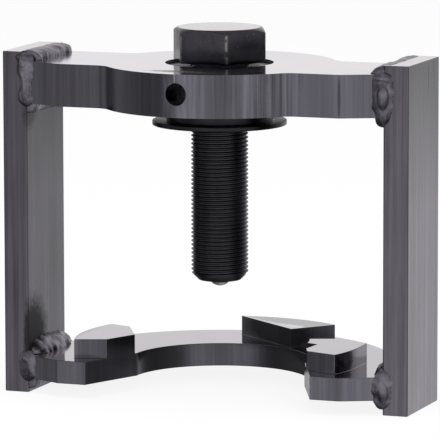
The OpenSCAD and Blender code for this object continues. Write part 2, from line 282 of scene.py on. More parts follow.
def plate_edge(name, colour, tones, contrasts, fine, bands, roughness=0.22):
    """The cut edge of a plate, with the cut's upright streaks and painted light in bands along it. tones and
    contrasts run from left to right.
    """
    finish = Finish(name)
    tone, lines = finish.streaks(fine, bands, 0.3, seed=5.0, share=finish.along_x(contrasts))
    # On the crosshead: metal rubbed bright, a scratch and a dark corner
    rubbed = finish.patch((42, -33, CROSS_LOW.z + 9), (11, 14, 60), 0.3)
    scratch = finish.patch((-1.5, -52, CROSS_HIGH.z - 1), (0.35, 3, 4.5))
    corner = finish.patch((SHOULDER, ARM_FRONT, CROSS_LOW.z + 9), (0.8, 2, 12), 0.3)
    # On the yoke, painted shade: on the face of its rear jaw, and in its throat at the right and the left
    jaw = finish.patch((6, 48, YOKE_HIGH.z - 3), (34, 20, 9))
    shadow = finish.patch((22, 32, YOKE_LOW.z + 4), (22, 16, 24))
    hollow = finish.patch((-35, 18, YOKE_LOW.z + 4), (13, 18, 14))
    wear = (1 + rubbed * 0.45) * (1 + scratch * 1.5) * (1 - corner * 0.5)
    # Painted light: the tones lighten and darken the edge in bands along it
    factor = tone * finish.along_x(tones) * wear
    rough = finish.ramp(lines, 0.3, 0.7, roughness * 0.9, roughness * 1.15)
    # Painted shade, as a matt black skin
    painted_shade_and_marks = finish.ramp(jaw * 0.9 + shadow * 0.7 + hollow * 0.7, 0.0, 1.0)
    return finish.surface(finish.shaded(colour, factor), rough, finish.bump(lines, 0.012), painted_shade_and_marks=painted_shade_and_marks)


def plate_top(name, colour, roughness, coat, stain=None):
    """The flat of a plate: fine cross grain under a film of oil. stain is where the film is rubbed off."""
    finish = Finish(name)
    grain = finish.cloud((0.05, 0.9, 0.4), detail=4.0, turn=(0, 0, 0.35))
    soft = finish.cloud((0.03, 0.03, 0.03), detail=3.0)
    shades = finish.shaded(colour, 1 + (grain - 0.5) * 0.5 + (soft - 0.5) * 0.6)
    rough = finish.ramp(soft, 0.3, 0.7, roughness * 0.8, roughness * 1.3)
    if stain:
        rub = finish.patch(*stain, 0.9)
        shades = finish.mix(rub * 0.55, shades, (0.34, 0.27, 0.24))
        rough = rough + rub * 0.22
        coat = coat * (1 - rub)
    bumps = finish.bump(grain, 0.0006)
    return finish.surface(shades, rough, bumps, coat=coat, coat_roughness=roughness)


def head_steel(name, colour):
    """The screw's head, bright where the wrench has rubbed its corners."""
    finish = Finish(name)
    fine = finish.cloud((0.6, 0.6, 0.6), detail=5.0, roughness=0.6)
    clouds = finish.cloud((0.1, 0.1, 0.1), detail=3.0)
    flat = finish.node("ShaderNodeMapping", inputs={"Vector": finish.place, "Scale": (1 / MM, 1 / MM, 0)})
    radius = finish.node("ShaderNodeVectorMath", {"operation": "LENGTH"}, {0: flat}, output=1)
    # Radius at the corners of the hexagon
    corner = 21.9
    rub = finish.ramp(radius, corner - 0.4, corner) * finish.ramp(fine, 0.4, 0.55)
    specks = finish.ramp(finish.cloud((0.9, 0.9, 0.9), detail=2.0, shift=(4, 2, 7)), 0.69, 0.74)
    tone = 1 + (fine - 0.5) * 0.5 + (clouds - 0.5) * 0.8
    worn = finish.ramp(rub * 0.9 + specks * 0.6, 0.0, 1.0)
    shades = finish.mix(worn, finish.shaded(colour, tone), (0.28, 0.26, 0.25))
    rough = finish.ramp(clouds, 0.3, 0.7, 0.22, 0.32)
    return finish.surface(shades, rough, finish.bump(fine, 0.008))


def weld_metal(name, colour):
    """Weld metal, with a skin of oxide in uneven patches."""
    finish = Finish(name)
    grain = finish.cloud((1.1, 1.1, 1.1), detail=5.0)
    patches = finish.cloud((0.16, 0.16, 0.16), detail=3.0)
    tone = finish.ramp(1 + (grain - 0.5) * 0.7 + (patches - 0.5) * 2.8, 0.3, 3.0, 0.3, 3.0)
    rough = finish.ramp(patches, 0.3, 0.7, 0.26, 0.42)
    return finish.surface(finish.shaded(colour, tone), rough, finish.bump(grain, 0.02))


def new_piece(name, bm, body, slot, nodes, materials, sharp=math.radians(30)):
    """Makes the finished mesh a piece that stands for its CAD nodes."""
    bmesh.ops.recalc_face_normals(bm, faces=bm.faces)
    mesh = bpy.data.meshes.new(name)
    bm.to_mesh(mesh)
    bm.free()
    for polygon in mesh.polygons:
        polygon.use_smooth = True
    mesh.set_sharp_from_angle(angle=sharp)
    for material in materials:
        mesh.materials.append(material)
    piece = bpy.data.objects.new(name, mesh)
    bpy.context.scene.collection.objects.link(piece)
    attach(piece, body)
    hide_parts(*nodes)
    return piece


def joined_node(node):
    """A CAD node's mesh with its loose triangles joined into whole faces."""
    bm = bmesh.new()
    bm.from_mesh(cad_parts[node].data)
    bmesh.ops.remove_doubles(bm, verts=bm.verts, dist=SAME_SPOT)
    bmesh.ops.dissolve_limit(bm, angle_limit=math.radians(0.5), verts=bm.verts, edges=bm.edges)
    return bm


def break_edges(piece, width):
    """Takes the sharpness off a piece's corners, by a narrow bevel of that width."""
    bevel = piece.modifiers.new("broken edges", "BEVEL")
    bevel.width = width
    bevel.segments = 2
    bevel.limit_method = "ANGLE"
    bevel.angle_limit = math.radians(30)
    bevel.harden_normals = True


def extrude_ring(bm, ring, move):
    """Extrudes a ring of vertices and puts each new one where move says, given its old place and number."""
    edges = {e for v in ring for e in v.link_edges if e.is_boundary or e.is_wire}
    made = bmesh.ops.extrude_edge_only(bm, edges=list(edges))
    fresh = {g for g in made["geom"] if isinstance(g, bmesh.types.BMVert)}
    following = []
    for number, vert in enumerate(ring):
        new = next(e.other_vert(vert) for e in vert.link_edges if e.other_vert(vert) in fresh)
        new.co = move(vert.co.copy(), number)
        following.append(new)
    return following


class Seam:
    """The corner that a weld runs along: its start, its two legs, its run, and its sizes in millimetres.

    crown is how far the weld stands out, and lap how far it runs over the top of its second leg. A full one
    bulges between its toes, up to that top.
    """

    def __init__(self, start, leg_a, leg_b, run, length, crown, lap=0.0, full=False):
        self.start = Vector(start)
        self.leg_a = Vector(leg_a)
        self.leg_b = Vector(leg_b)
        self.run = Vector(run).normalized()
        self.length = length
        self.crown = crown
        self.lap = lap
        self.full = full
        outward = self.leg_a.normalized() + self.leg_b.normalized()
        # Legs in one line, as at the back, leave the way out to the run
        if outward.length < 0.01:
            outward = self.run.cross(self.leg_a)
        self.outward = outward.normalized()

    def across(self, share):
        """Point of the weld's section: 0 is the toe on the first leg, 1 the toe on the second."""
        if not self.lap:
            return self.leg_a.lerp(self.leg_b, share) + self.outward * self.crown * math.sin(math.pi * share)
        # Share of the section up to the edge it laps over, and how full a full one is
        edge, fullness = 0.75, 0.75
        thick = self.leg_b.normalized() * self.crown * 0.45
        if share < edge:
            part = share / edge
            brim = self.leg_b + thick
            if self.full:
                turn = math.pi / 2 * part
                return self.leg_a * math.cos(turn) ** fullness + brim * math.sin(turn) ** fullness
            return self.leg_a.lerp(brim, part) + self.outward * self.crown * math.sin(math.pi * part)
        part = (share - edge) / (1 - edge)
        over = self.leg_a.normalized() * -self.lap * part
        return self.leg_b + over + thick * math.sqrt(max(0.0, 1 - part ** 2))

    def root(self):
        """Points of the section sunk in the corner, from the second toe back to the first."""
        sink = 0.35
        a, b = self.leg_a.normalized(), self.leg_b.normalized()
        if self.lap:
            under = self.leg_b - b * sink
            return [under - a * self.lap, under - a * sink, -(a + b) * sink, self.leg_a - b * sink]
        inward = -self.outward * sink
        return [self.leg_b * 0.98 + inward, inward * 1.5, self.leg_a * 0.98 + inward]


class Bead:
    """How a weld was laid: the pitch and reach of its drops, their height, and how it starts and ends.

    lump is the height of its slow lumps, ends how much of the seam it leaves bare at either end, fade how
    far it grows to its full section there, and spindle how much thinner it is there than in its middle.
    waist is a place with its reach and the share that is missing there, and extra holds single drops: place
    along and across, reach along and across, and height.
    """

    def __init__(
        self, pitch, reach, height, lump=0.35, ends=(0.0, 0.0), fade=(3.0, 3.0), spindle=0.0,
        waist=None, extra=(),
    ):
        self.pitch = pitch
        self.reach = reach
        self.height = height
        self.lump = lump
        self.ends = ends
        self.fade = fade
        self.spindle = spindle
        self.waist = waist
        self.extra = extra

    def drops(self, length, chance):
        """Where each drop of metal landed along and across the seam, its reach both ways and its height."""
        at = -self.reach * 0.4
        while at < length + self.reach:
            reach = self.reach * chance.uniform(0.85, 1.2)
            yield at, chance.uniform(-0.5, 0.5), reach, reach * 1.2, chance.uniform(0.6, 1.3)
            at += self.pitch * chance.uniform(0.65, 1.4)
        yield from self.extra

    def end_size(self, along, length):
        """How much of its full section the bead has at a place, from 0 at its very ends."""
        first = (along - self.ends[0]) / self.fade[0]
        last = (length - self.ends[1] - along) / self.fade[1]
        edge = min(1.0, max(0.02, min(first, last)))
        size = math.sqrt(1 - (1 - edge) ** 2) * (1 - self.spindle * (1 - math.sin(math.pi * along / length)))
        if self.waist:
            at, reach, share = self.waist
            size *= 1 - share * math.exp(-(((along - at) / reach) ** 2))
        return size


def drop_height(drops, along, across, soft=0.3):
    """Height of the metal where drops overlap, each one on top of the one before."""
    height = 0.0
    for at, aside, long, wide, rise in drops:
        away = math.hypot((along - at) / long, (across - aside) / wide)
        if away < 1:
            cover = min(1.0, (1 - away) / soft)
            cover = cover * cover * (3 - 2 * cover)
            dome = rise * (1.15 - away ** 2 - 0.3 * (along - at) / long)
            height += (dome - height) * cover
    return height


# Points across a bead's outside, and how far its sections are apart
AROUND = 26
STEP = 0.3


def bead_point(seam, bead, drops, seed, along, share):
    """A point on a bead's surface: drops, slow lumps, wandering toes and a rough grain."""
    middle = math.sin(math.pi * share)
    width = seam.leg_a.length + seam.leg_b.length
    ends = bead.end_size(along, seam.length)
    flat = seam.across(share)
    # The point that the bead shrinks to at its ends
    heart = (seam.leg_a + seam.leg_b) * 0.08
    # Noise from slow lumps to fine grain, a little drawn out along the seam and different for each seed
    spot = Vector((along * 0.8, share * width, seed * 11.0))
    lump = noise.noise(spot * 0.2) * bead.lump * 2 + noise.noise(spot * 0.5) * bead.lump * 0.35
    grain = noise.noise(spot * 1.2) * 0.05 + noise.noise(spot * 4.0) * 0.008
    rise = drop_height(drops, along, (share - 0.5) * width) * bead.height
    outward = (flat - heart).normalized()
    wander, slow = 1.2, 0.3
    toe_a = noise.noise(Vector((along * slow, seed, 0.0))) * wander * (1 - share) ** 4
    toe_b = 0.0 if seam.lap else noise.noise(Vector((along * slow, seed, 9.0))) * wander * share ** 4
    point = flat + outward * (rise - bead.height * 0.5 + lump + grain) * middle ** 0.6
    point += seam.leg_a.normalized() * toe_a + seam.leg_b.normalized() * toe_b
    return seam.start + heart + (point - heart) * ends + seam.run * along


def weld_bead(name, node, seam, bead, side, seed, material):
    """A bead from one end of its seam to the other. side is 1 at the right bar and -1 at the left."""
    root = seam.root()
    total = AROUND + len(root)
    stations = max(6, round(seam.length / STEP))
    drops = list(bead.drops(seam.length, random.Random(seed)))
    bm = bmesh.new()
    bmesh.ops.create_grid(bm, x_segments=stations, y_segments=total, size=0.5)
    for vert in bm.verts:
        along = (vert.co.x + 0.5) * seam.length
        number = round((vert.co.y + 0.5) * total) % total
        if number < AROUND:
            point = bead_point(seam, bead, drops, seed, along, number / (AROUND - 1))
        else:
            inner = root[number - AROUND] * bead.end_size(along, seam.length)
            point = seam.start + inner + seam.run * along
        vert.co = Vector((point.x * side, point.y, point.z)) * MM
    bmesh.ops.remove_doubles(bm, verts=bm.verts, dist=SAME_SPOT)
    bmesh.ops.holes_fill(bm, edges=[e for e in bm.edges if e.is_boundary], sides=0)
    return new_piece(name, bm, "frame", "weld_metal", [node], [material], sharp=math.radians(60))


def plate_seams(top, bottom, high, above, below, front, lap=0.0, crown=1.3, full=False):
    """A plate's four seams at the right bar, by name.

    high is the top weld's leg on the bar, above and below are how far the front run passes the plate, and
    front is that run's crown. lap, crown and full are the top weld's.
    """
    depth = BAR_HIGH.y - BAR_LOW.y
    inward, up, right, back = Vector((-1, 0, 0)), Vector((0, 0, 1)), Vector((1, 0, 0)), Vector((0, 1, 0))
    front_leg = Vector((SHOULDER - BAR_IN, ARM_FRONT - BAR_FRONT, 0)).normalized()
    over, tall = 0.8, top - bottom
    front_start, front_side = (BAR_IN, BAR_FRONT, top + above), right * 4.6
    back_start = (BAR_IN, BAR_HIGH.y, top + over)
    return {
        "top": Seam((BAR_IN, BAR_FRONT, top), inward * TOP_LEG, up * high, back, depth, crown, lap, full),
        "bottom": Seam((BAR_IN, BAR_FRONT, bottom), inward * LEG, -up * LEG, back, depth, 1.3),
        "front": Seam(front_start, front_leg * LEG, front_side, -up, tall + above + below, front),
        "back": Seam(back_start, inward * LEG, right * LEG, -up, tall + 2 * over, 1.9),
    }


# How the welds were laid: the ways that several share, and then those of single welds, by name
LONG_RUN = Bead(2.2, 3.2, 0.3)
BACK_RUN = Bead(2.4, 3.6, 0.4)
BEADS = {
    "crosshead_left_top": Bead(5.0, 7.0, 0.3, lump=0.3, fade=(1.0, 7.0)),
    "crosshead_left_bottom": Bead(2.6, 4.0, 0.5, fade=(0.8, 3.0)),
    "crosshead_left_front": Bead(
        7.0, 8.0, 0.25, lump=0.4, fade=(2.5, 6.0), waist=(14.5, 4.5, 0.32),
        extra=[(4.5, 0.6, 2.5, 3.4, 3.0), (13.5, 0.8, 6.0, 2.0, 4.0)],
    ),
    "crosshead_right_top": Bead(5.0, 7.0, 0.3, fade=(3.0, 3.0)),
    "crosshead_right_front": Bead(
        12.0, 12.0, 0.22, lump=0.2, fade=(3.0, 11.0),
        extra=[(3.0, 0.4, 2.4, 4.2, 2.6), (5.4, -0.6, 2.4, 3.2, 1.8), (11.0, 0.2, 6.5, 2.8, 4.5)],
    ),
    "yoke_left_top": Bead(1.8, 4.2, 0.25, lump=0.35, ends=(2.5, 1.0), fade=(7.0, 5.0), spindle=0.3),
    "yoke_left_bottom": Bead(2.6, 4.0, 0.5, fade=(0.8, 3.0)),
    "yoke_left_front": Bead(
        6.0, 7.0, 0.25, lump=0.35, fade=(5.0, 6.0),
        extra=[(4.0, 0.8, 2.2, 2.2, 2.4)],
    ),
    "yoke_right_top": Bead(1.9, 4.4, 0.25, lump=0.35, ends=(1.5, 1.0), fade=(5.0, 5.0), spindle=0.2),
    "yoke_right_front": Bead(
        12.0, 12.0, 0.22, lump=0.12, fade=(9.0, 8.0),
        extra=[(8.0, -0.8, 4.5, 2.8, 2.4), (10.5, 0.6, 6.0, 2.8, 3.2)],
    ),
}
# How far the front runs pass their plate above and below, and their crown, at the left and the right bar
PAST = {"crosshead": ((3.4, 1.6, 1.8), (0.8, 3.2, 1.9)), "yoke": ((2.4, 1.4, 1.0), (3.2, 3.6, 1.2))}


def spun(profile, steps=128):
    """A closed profile of (radius, height) points in millimetres, spun once about the screw's axis."""
    bm = bmesh.new()
    verts = [bm.verts.new((r * MM, 0, z * MM)) for r, z in profile]
    edges = [bm.edges.new((verts[i - 1], verts[i])) for i in range(len(verts))]
    bmesh.ops.spin(
        bm, geom=verts + edges, axis=(0, 0, 1), cent=(0, 0, 0), angle=TURN, steps=steps, use_merge=True
    )
    bmesh.ops.remove_doubles(bm, verts=bm.verts, dist=SAME_SPOT)
    return bm


class PullerSizes(bpy.types.PropertyGroup):
    """Sizes and colours of the finish"""

    edge: bpy.props.FloatProperty(
        name="Broken edge",
        description="Width of the break along the edges of the bars and plates",
        default=0.25 * MM,
        min=0.05 * MM,
        max=1 * MM,
        precision=5,
        subtype="DISTANCE",
        unit="LENGTH",
    )
    pitch: bpy.props.FloatProperty(
        name="Thread pitch",
        description="Rise of the forcing screw's thread in one turn",
        default=25.4 * MM / 14,
        min=0.5 * MM,
        precision=5,
        subtype="DISTANCE",
        unit="LENGTH",
    )
    bar_colour: bpy.props.FloatVectorProperty(
        name="Bars",
        description="Colour of the side bars",
        default=(0.099, 0.093, 0.109),
        size=3,
        min=0,
        max=1,
        subtype="COLOR",
    )
    plate_colour: bpy.props.FloatVectorProperty(
        name="Plates",
        description="Colour of the plates",
        default=(0.1, 0.0965, 0.114),
        size=3,
        min=0,
        max=1,
        subtype="COLOR",
    )
    screw_colour: bpy.props.FloatVectorProperty(
        name="Screw",
        description="Colour of the screw and the bushing",
        default=(0.06, 0.058, 0.067),
        size=3,
        min=0,
        max=1,
        subtype="COLOR",
    )


class PULLER_OT_bars(bpy.types.Operator):
    """Adds the two side bars"""

    bl_idname = "puller.bars"
    bl_label = "Side bars"

    def execute(self, context):
        sizes = context.scene.puller_sizes
        # The fronts and sides are one steel with painted light: lighter at the right bar and darker towards
        # the top, the sides most
        faces = [
            plate_top("bar end", sizes.bar_colour, roughness=0.12, coat=0.6),
            bar_face("bar front", sizes.bar_colour, left=1.08, right=1.22, top=0.95),
            bar_face("bar side", sizes.bar_colour, left=0.92, right=1.85, top=0.3),
        ]
        for node in ("left_bar", "right_bar"):
            bm = joined_node(node)
            bm.normal_update()
            for polygon in bm.faces:
                ways = [abs(polygon.normal.z), abs(polygon.normal.y), abs(polygon.normal.x)]
                polygon.material_index = ways.index(max(ways))
            piece = new_piece(node + "_steel", bm, "frame", "bar_steel", [node], faces)
            break_edges(piece, sizes.edge)
        return {"FINISHED"}


class PULLER_OT_plates(bpy.types.Operator):
    """Adds the crosshead and the yoke"""

    bl_idname = "puller.plates"
    bl_label = "Crosshead and yoke"

    # Tone of each plate's edge, painted light in lighter and darker bands, and strength of its streaks, by
    # (place from left to right, value)
    crosshead_painted_light = (
        (-95, 1.68), (-60, 1.68), (-52, 1.52), (-40, 1.2), (-32, 1.15), (-24, 0.87), (-14, 0.87), (-4, 1.1),
        (6, 1.6), (19, 0.88), (28, 1.4), (42, 0.92), (60, 1.1), (68, 1.48), (95, 1.48),
    )
    crosshead_streaks = (
        (-95, 0.5), (-6, 0.45), (4, 0.9), (24, 0.9), (32, 1.5), (42, 1.4), (50, 0.5), (95, 0.4),
    )
    yoke_painted_light = ((-95, 1.3), (-60, 1.3), (-52, 0.93), (-20, 0.85), (20, 0.85), (48, 1.28), (95, 1.4))
    yoke_streaks = ((-95, 0.8), (95, 1.1))

    def execute(self, context):
        sizes = context.scene.puller_sizes
        colour = sizes.plate_colour
        # Where the crosshead's top is rubbed, and how far round there
        rubbed = ((-3, -41, CROSS_HIGH.z), (18, 5, 2))
        cross_face = plate_top("plate face", colour, roughness=0.13, coat=0.9, stain=rubbed)
        cross_edge = plate_edge(
            "plate edge", colour, self.crosshead_painted_light, self.crosshead_streaks, fine=1.6, bands=1.0
        )
        yoke_face = plate_top("milled face", colour, roughness=0.07, coat=0.55)
        yoke_edge = plate_edge(
            "milled edge", colour, self.yoke_painted_light, self.yoke_streaks, fine=0.9, bands=0.7, roughness=0.16
        )
        looks = (
            ("crosshead", "plate_steel", cross_face, cross_edge),
            ("yoke", "milled_steel", yoke_face, yoke_edge),
        )
        for node, slot, face, side in looks:
            bm = joined_node(node)
            bm.normal_update()
            for polygon in bm.faces:
                polygon.material_index = 0 if abs(polygon.normal.z) > 0.5 else 1
            piece = new_piece(node + "_steel", bm, "frame", slot, [node], [face, side])
            break_edges(piece, sizes.edge)
        return {"FINISHED"}


class PULLER_OT_welds(bpy.types.Operator):
    """Adds the sixteen weld beads"""

    bl_idname = "puller.welds"
    bl_label = "Welds"

    def execute(self, context):
        metal = weld_metal("weld metal", (0.15, 0.143, 0.168))
        # The crosshead's top welds climb to the bars' ends and lap over them
        rim = BAR_HIGH.z - CROSS_HIGH.z
        seed = 0
        for plate in ("crosshead", "yoke"):
            for side_name, side, past in zip(("left", "right"), (-1, 1), PAST[plate]):
                if plate == "crosshead":
                    lap = {"lap": 3.0, "crown": 0.7, "full": side < 0}
                    seams = plate_seams(CROSS_HIGH.z, CROSS_LOW.z, rim, *past, **lap)
                else:
                    seams = plate_seams(YOKE_FLOOR, YOKE_LOW.z, TOP_LEG, *past)
                for place, seam in seams.items():
                    seed += 1
                    weld = f"{plate}_{side_name}_{place}"
                    bead = BEADS.get(weld, BACK_RUN if place == "back" else LONG_RUN)
                    weld_bead(weld + "_bead", weld + "_weld", seam, bead, side, seed, metal)
        return {"FINISHED"}


class PULLER_OT_bushing(bpy.types.Operator):
    """Adds the threaded bushing"""

    bl_idname = "puller.bushing"
    bl_label = "Threaded bushing"

    def execute(self, context):
        sizes = context.scene.puller_sizes
        colour = shade(sizes.screw_colour, 0.55)
        steel = oiled_steel("bushing steel", colour, grain=(0.3, 0.3, 2.0), roughness=0.34, depth=0.004)
        # Radii of the bore, the sleeve and the flange, and the flange's thickness
        bore, sleeve, flange, thick = 12.75, 23.8, BUSHING_HIGH.x, 2.0
        # The chamfers, the fillet over the flange, and its round edge with the middle of that round
        chamfer, fillet, edge, inset = 0.6, 0.3, 0.35, 0.1
        low, high = BUSHING_LOW.z, BUSHING_HIGH.z
        top = low + thick
        profile = [
            (bore + chamfer, low), (flange - edge, low), (flange - inset, low + inset), (flange, low + edge),
            (flange, top - edge), (flange - inset, top - inset), (flange - edge, top),
            (sleeve + fillet, top), (sleeve, top + fillet), (sleeve, high - chamfer),
            (sleeve - chamfer, high), (bore + chamfer, high), (bore, high - chamfer), (bore, low + chamfer),
        ]
        bm = spun(profile)
        new_piece("bushing_steel", bm, "frame", "bushing_steel", ["threaded_bushing"], [steel])
        return {"FINISHED"}


class PULLER_OT_lock_screw(bpy.types.Operator):
    """Adds the lock screw in the crosshead's cross hole"""

    bl_idname = "puller.lock_screw"
    bl_label = "Lock screw"

    def execute(self, context):
        sizes = context.scene.puller_sizes
        colour = sizes.screw_colour
        steel = oiled_steel("lock screw steel", colour, grain=(0.6, 2.0, 0.6), roughness=0.3, depth=0.006)
        bm = joined_node("lock_screw")
        piece = new_piece("lock_screw_steel", bm, "frame", "lock_screw_steel", ["lock_screw"], [steel])
        break_edges(piece, 0.1 * MM)
        return {"FINISHED"}


class PULLER_OT_forcing_screw(bpy.types.Operator):
    """Adds the forcing screw: thread, nose, socket and hex head in one skin"""

    bl_idname = "puller.forcing_screw"
    bl_label = "Forcing screw"

    # Radii of the thread's crest and root, of the neck and of the nose
    crest = 12.7
    root = 11.8
    neck = 9.0
    nose = 9.5
    # Heights of the nose and of the head, how far under the head the thread has run out, and how steeply
    nose_height = 1.0
    head_height = 15.5
    run_out = 1.6
    taper = 0.9
    # Steps in a turn of the thread, and the head's turn in degrees
    steps = 48
    head_turn = -1.3
    # How far the seat stays off the ball, and its rings
    clearance = 0.05
    seat_rings = 24
    # Width over the head's flats, and radii of its underside, its washer face and its level crown
    across = 38.1
    under = 12.6
    washer = 18.3
    crown = 18.6

    def execute(self, context):
        sizes = context.scene.puller_sizes
        colour = sizes.screw_colour
        steel = oiled_steel("screw steel", colour, grain=(0.5, 0.5, 0.5), roughness=0.4, depth=0.006)
        head = head_steel("head steel", colour)
        crown = plate_top("head crown", colour, roughness=0.15, coat=0.7)
        bm = self.threaded_shank(sizes.pitch / MM)
        self.add_nose(bm)
        self.add_head(bm)
        starts = (self.shank_high() - 0.01, SCREW_HIGH.z - 0.01)
        for polygon in bm.faces:
            height = polygon.calc_center_median().z / MM
            polygon.material_index = sum(height > start for start in starts)
        looks, sharp = [steel, head, crown], math.radians(25)
        new_piece("forcing_screw_steel", bm, "screw", "screw_steel", ["forcing_screw"], looks, sharp)
        return {"FINISHED"}

    def threaded_shank(self, pitch):
        """A helical skin from a tooth's profile, cut off square at both ends."""
        low, high = self.shank_low(), self.shank_high()
        # The thread starts below the nose and is cut off at it
        first = low - 1.5 * pitch
        # One tooth, by its radius and its share of the pitch
        root, crest = self.root, self.crest
        tooth = ((root, 0.0), (root, 0.14), (crest, 0.46), (crest, 0.6), (root, 0.92), (root, 1.0))
        turns = math.ceil((high - first) / pitch) + 1
        bm = bmesh.new()
        verts = [bm.verts.new((r * MM, 0, (first + share * pitch) * MM)) for r, share in tooth]
        edges = [bm.edges.new(pair) for pair in zip(verts, verts[1:])]
        turned = Matrix.Rotation(math.radians(self.head_turn), 3, "Z")
        bmesh.ops.rotate(bm, verts=verts, cent=(0, 0, 0), matrix=turned)
        rise = pitch * MM / self.steps
        bmesh.ops.spin(
            bm, geom=verts + edges, axis=(0, 0, 1), cent=(0, 0, 0), dvec=(0, 0, rise), angle=TURN * turns,
            steps=self.steps * turns,
        )
        bmesh.ops.remove_doubles(bm, verts=bm.verts, dist=2 * SAME_SPOT)
        for vert in bm.verts:
            self.turn_down(vert, self.nose + (vert.co.z / MM - low))
            self.turn_down(vert, self.root + self.taper * (high - self.run_out - vert.co.z / MM))
        for height, way in ((low, -1), (high, 1)):
            bmesh.ops.bisect_plane(
                bm, geom=bm.verts[:] + bm.edges[:] + bm.faces[:], plane_co=(0, 0, height * MM),
                plane_no=(0, 0, way), clear_outer=True,
            )
        bmesh.ops.remove_doubles(bm, verts=bm.verts, dist=2 * SAME_SPOT)
        return bm

    def shank_low(self):
        return SCREW_LOW.z + self.nose_height

    def shank_high(self):
        return SCREW_HIGH.z - self.head_height

    def turn_down(self, vert, most):
        """Brings a vertex in to a radius, as a lathe would, though never inside the neck or the root.

        The neck is the limit at the nose, and the root at the head.
        """
        halfway = 60
        most = max(most, self.neck if vert.co.z / MM < halfway else self.root) * MM
        radius = math.hypot(vert.co.x, vert.co.y)
        if radius > most:
            vert.co.x *= most / radius
            vert.co.y *= most / radius

    @staticmethod
    def end_ring(bm, height):
        """The open ring of vertices at a height, in order."""
        start = next(v for v in bm.verts if v.is_boundary and abs(v.co.z / MM - height) < 0.01)
        ring, last = [start], None
        while True:
            steps = [e for e in ring[-1].link_edges if e.is_boundary and e is not last]
            last = steps[0]
            following = last.other_vert(ring[-1])
            if following is start:
                return ring
            ring.append(following)

    @staticmethod
    def to_circle(radius, height):
        """A move that puts a ring's vertices on a circle round the axis."""
        def move(old, number):
            flat = Vector((old.x, old.y, 0)).normalized() * radius * MM
            return Vector((flat.x, flat.y, height * MM))
        return move

    def add_nose(self, bm):
        """Closes the lower end: chamfered nose, lip and the ball's socket."""
        ring = self.end_ring(bm, self.shank_low())
        centre = (BALL_LOW.z + BALL_HIGH.z) / 2
        socket = (BALL_HIGH.z - BALL_LOW.z) / 2 + self.clearance
        low = SCREW_LOW.z
        mouth = math.sqrt(socket ** 2 - (centre - low) ** 2)
        # The nose's face, the groove round the lip, and the lip that holds the ball
        stops = [(9.3, low + 0.9), (5.7, low + 0.98), (5.4, low + 0.85)]
        stops += [(mouth + 0.6, low + 0.06), (mouth + 0.45, low), (mouth + 0.06, low), (mouth, low + 0.06)]
        rim = math.asin((low - centre) / socket)
        angles = [rim + (math.pi / 2 - rim) * i / self.seat_rings for i in range(1, self.seat_rings)]
        stops += [(socket * math.cos(a), centre + socket * math.sin(a)) for a in angles]
        for radius, height in stops:
            ring = extrude_ring(bm, ring, self.to_circle(radius, height))
        bmesh.ops.contextual_create(bm, geom=ring)

    def hexagon(self, old, height):
        """The point of the head's outline in the direction of an old point, as high as its radius says."""
        angle = math.atan2(old.y, old.x)
        turned = (angle - math.radians(self.head_turn)) % (TURN / 6) - TURN / 12
        radius = self.across / 2 / math.cos(turned)
        return Vector((radius * math.cos(angle) * MM, radius * math.sin(angle) * MM, height(radius) * MM))

    def add_head(self, bm):
        """Builds the head up from the neck: washer face, hexagon, chamfer and crown."""
        base, top = self.shank_high(), SCREW_HIGH.z
        washer, crown, step, edge = self.washer, self.crown, 0.4, 0.1
        slope = math.tan(math.radians(30))
        ring = self.end_ring(bm, base)
        circles = ((self.under, base), (washer - edge, base), (washer, base + edge), (washer, base + step))
        for radius, height in circles:
            ring = extrude_ring(bm, ring, self.to_circle(radius, height))
        ring = extrude_ring(bm, ring, lambda old, n: self.hexagon(old, lambda r: base + step))
        below = set(bm.verts) - set(ring)
        ring = extrude_ring(bm, ring, lambda old, n: self.hexagon(old, lambda r: top - (r - crown) * slope))
        ring = extrude_ring(bm, ring, self.to_circle(crown, top))
        ring = extrude_ring(bm, ring, self.to_circle(crown - 1.2, top))
        bmesh.ops.contextual_create(bm, geom=ring)
        bm.normal_update()
        sharp = math.radians(18)
        hexagon = [e for e in bm.edges if not set(e.verts) & below and e.is_manifold]
        corners = [e for e in hexagon if e.calc_face_angle() > sharp]
        bmesh.ops.bevel(
            bm, geom=corners, offset=0.25 * MM, segments=2, profile=0.5, affect="EDGES", material=-1,
            clamp_overlap=True,
        )


class PULLER_OT_ball(bpy.types.Operator):
    """Adds the hardened ball in the screw's nose"""

    bl_idname = "puller.ball"
    bl_label = "Ball"

    def execute(self, context):
        radius = (BALL_HIGH.x - BALL_LOW.x) / 2 * MM
        bright, grain = (0.95, 0.95, 0.93), (0.8, 0.8, 0.8)
        bm = bmesh.new()
        bmesh.ops.create_uvsphere(bm, u_segments=64, v_segments=32, radius=radius)
        bmesh.ops.translate(bm, verts=bm.verts, vec=(0, 0, (BALL_LOW.z + BALL_HIGH.z) / 2 * MM))
        steel = oiled_steel("ball steel", bright, grain, roughness=0.3, depth=0.003, contrast=0.1)
        new_piece("ball_steel", bm, "tip", "ball_steel", ["tip_ball"], [steel])
        return {"FINISHED"}


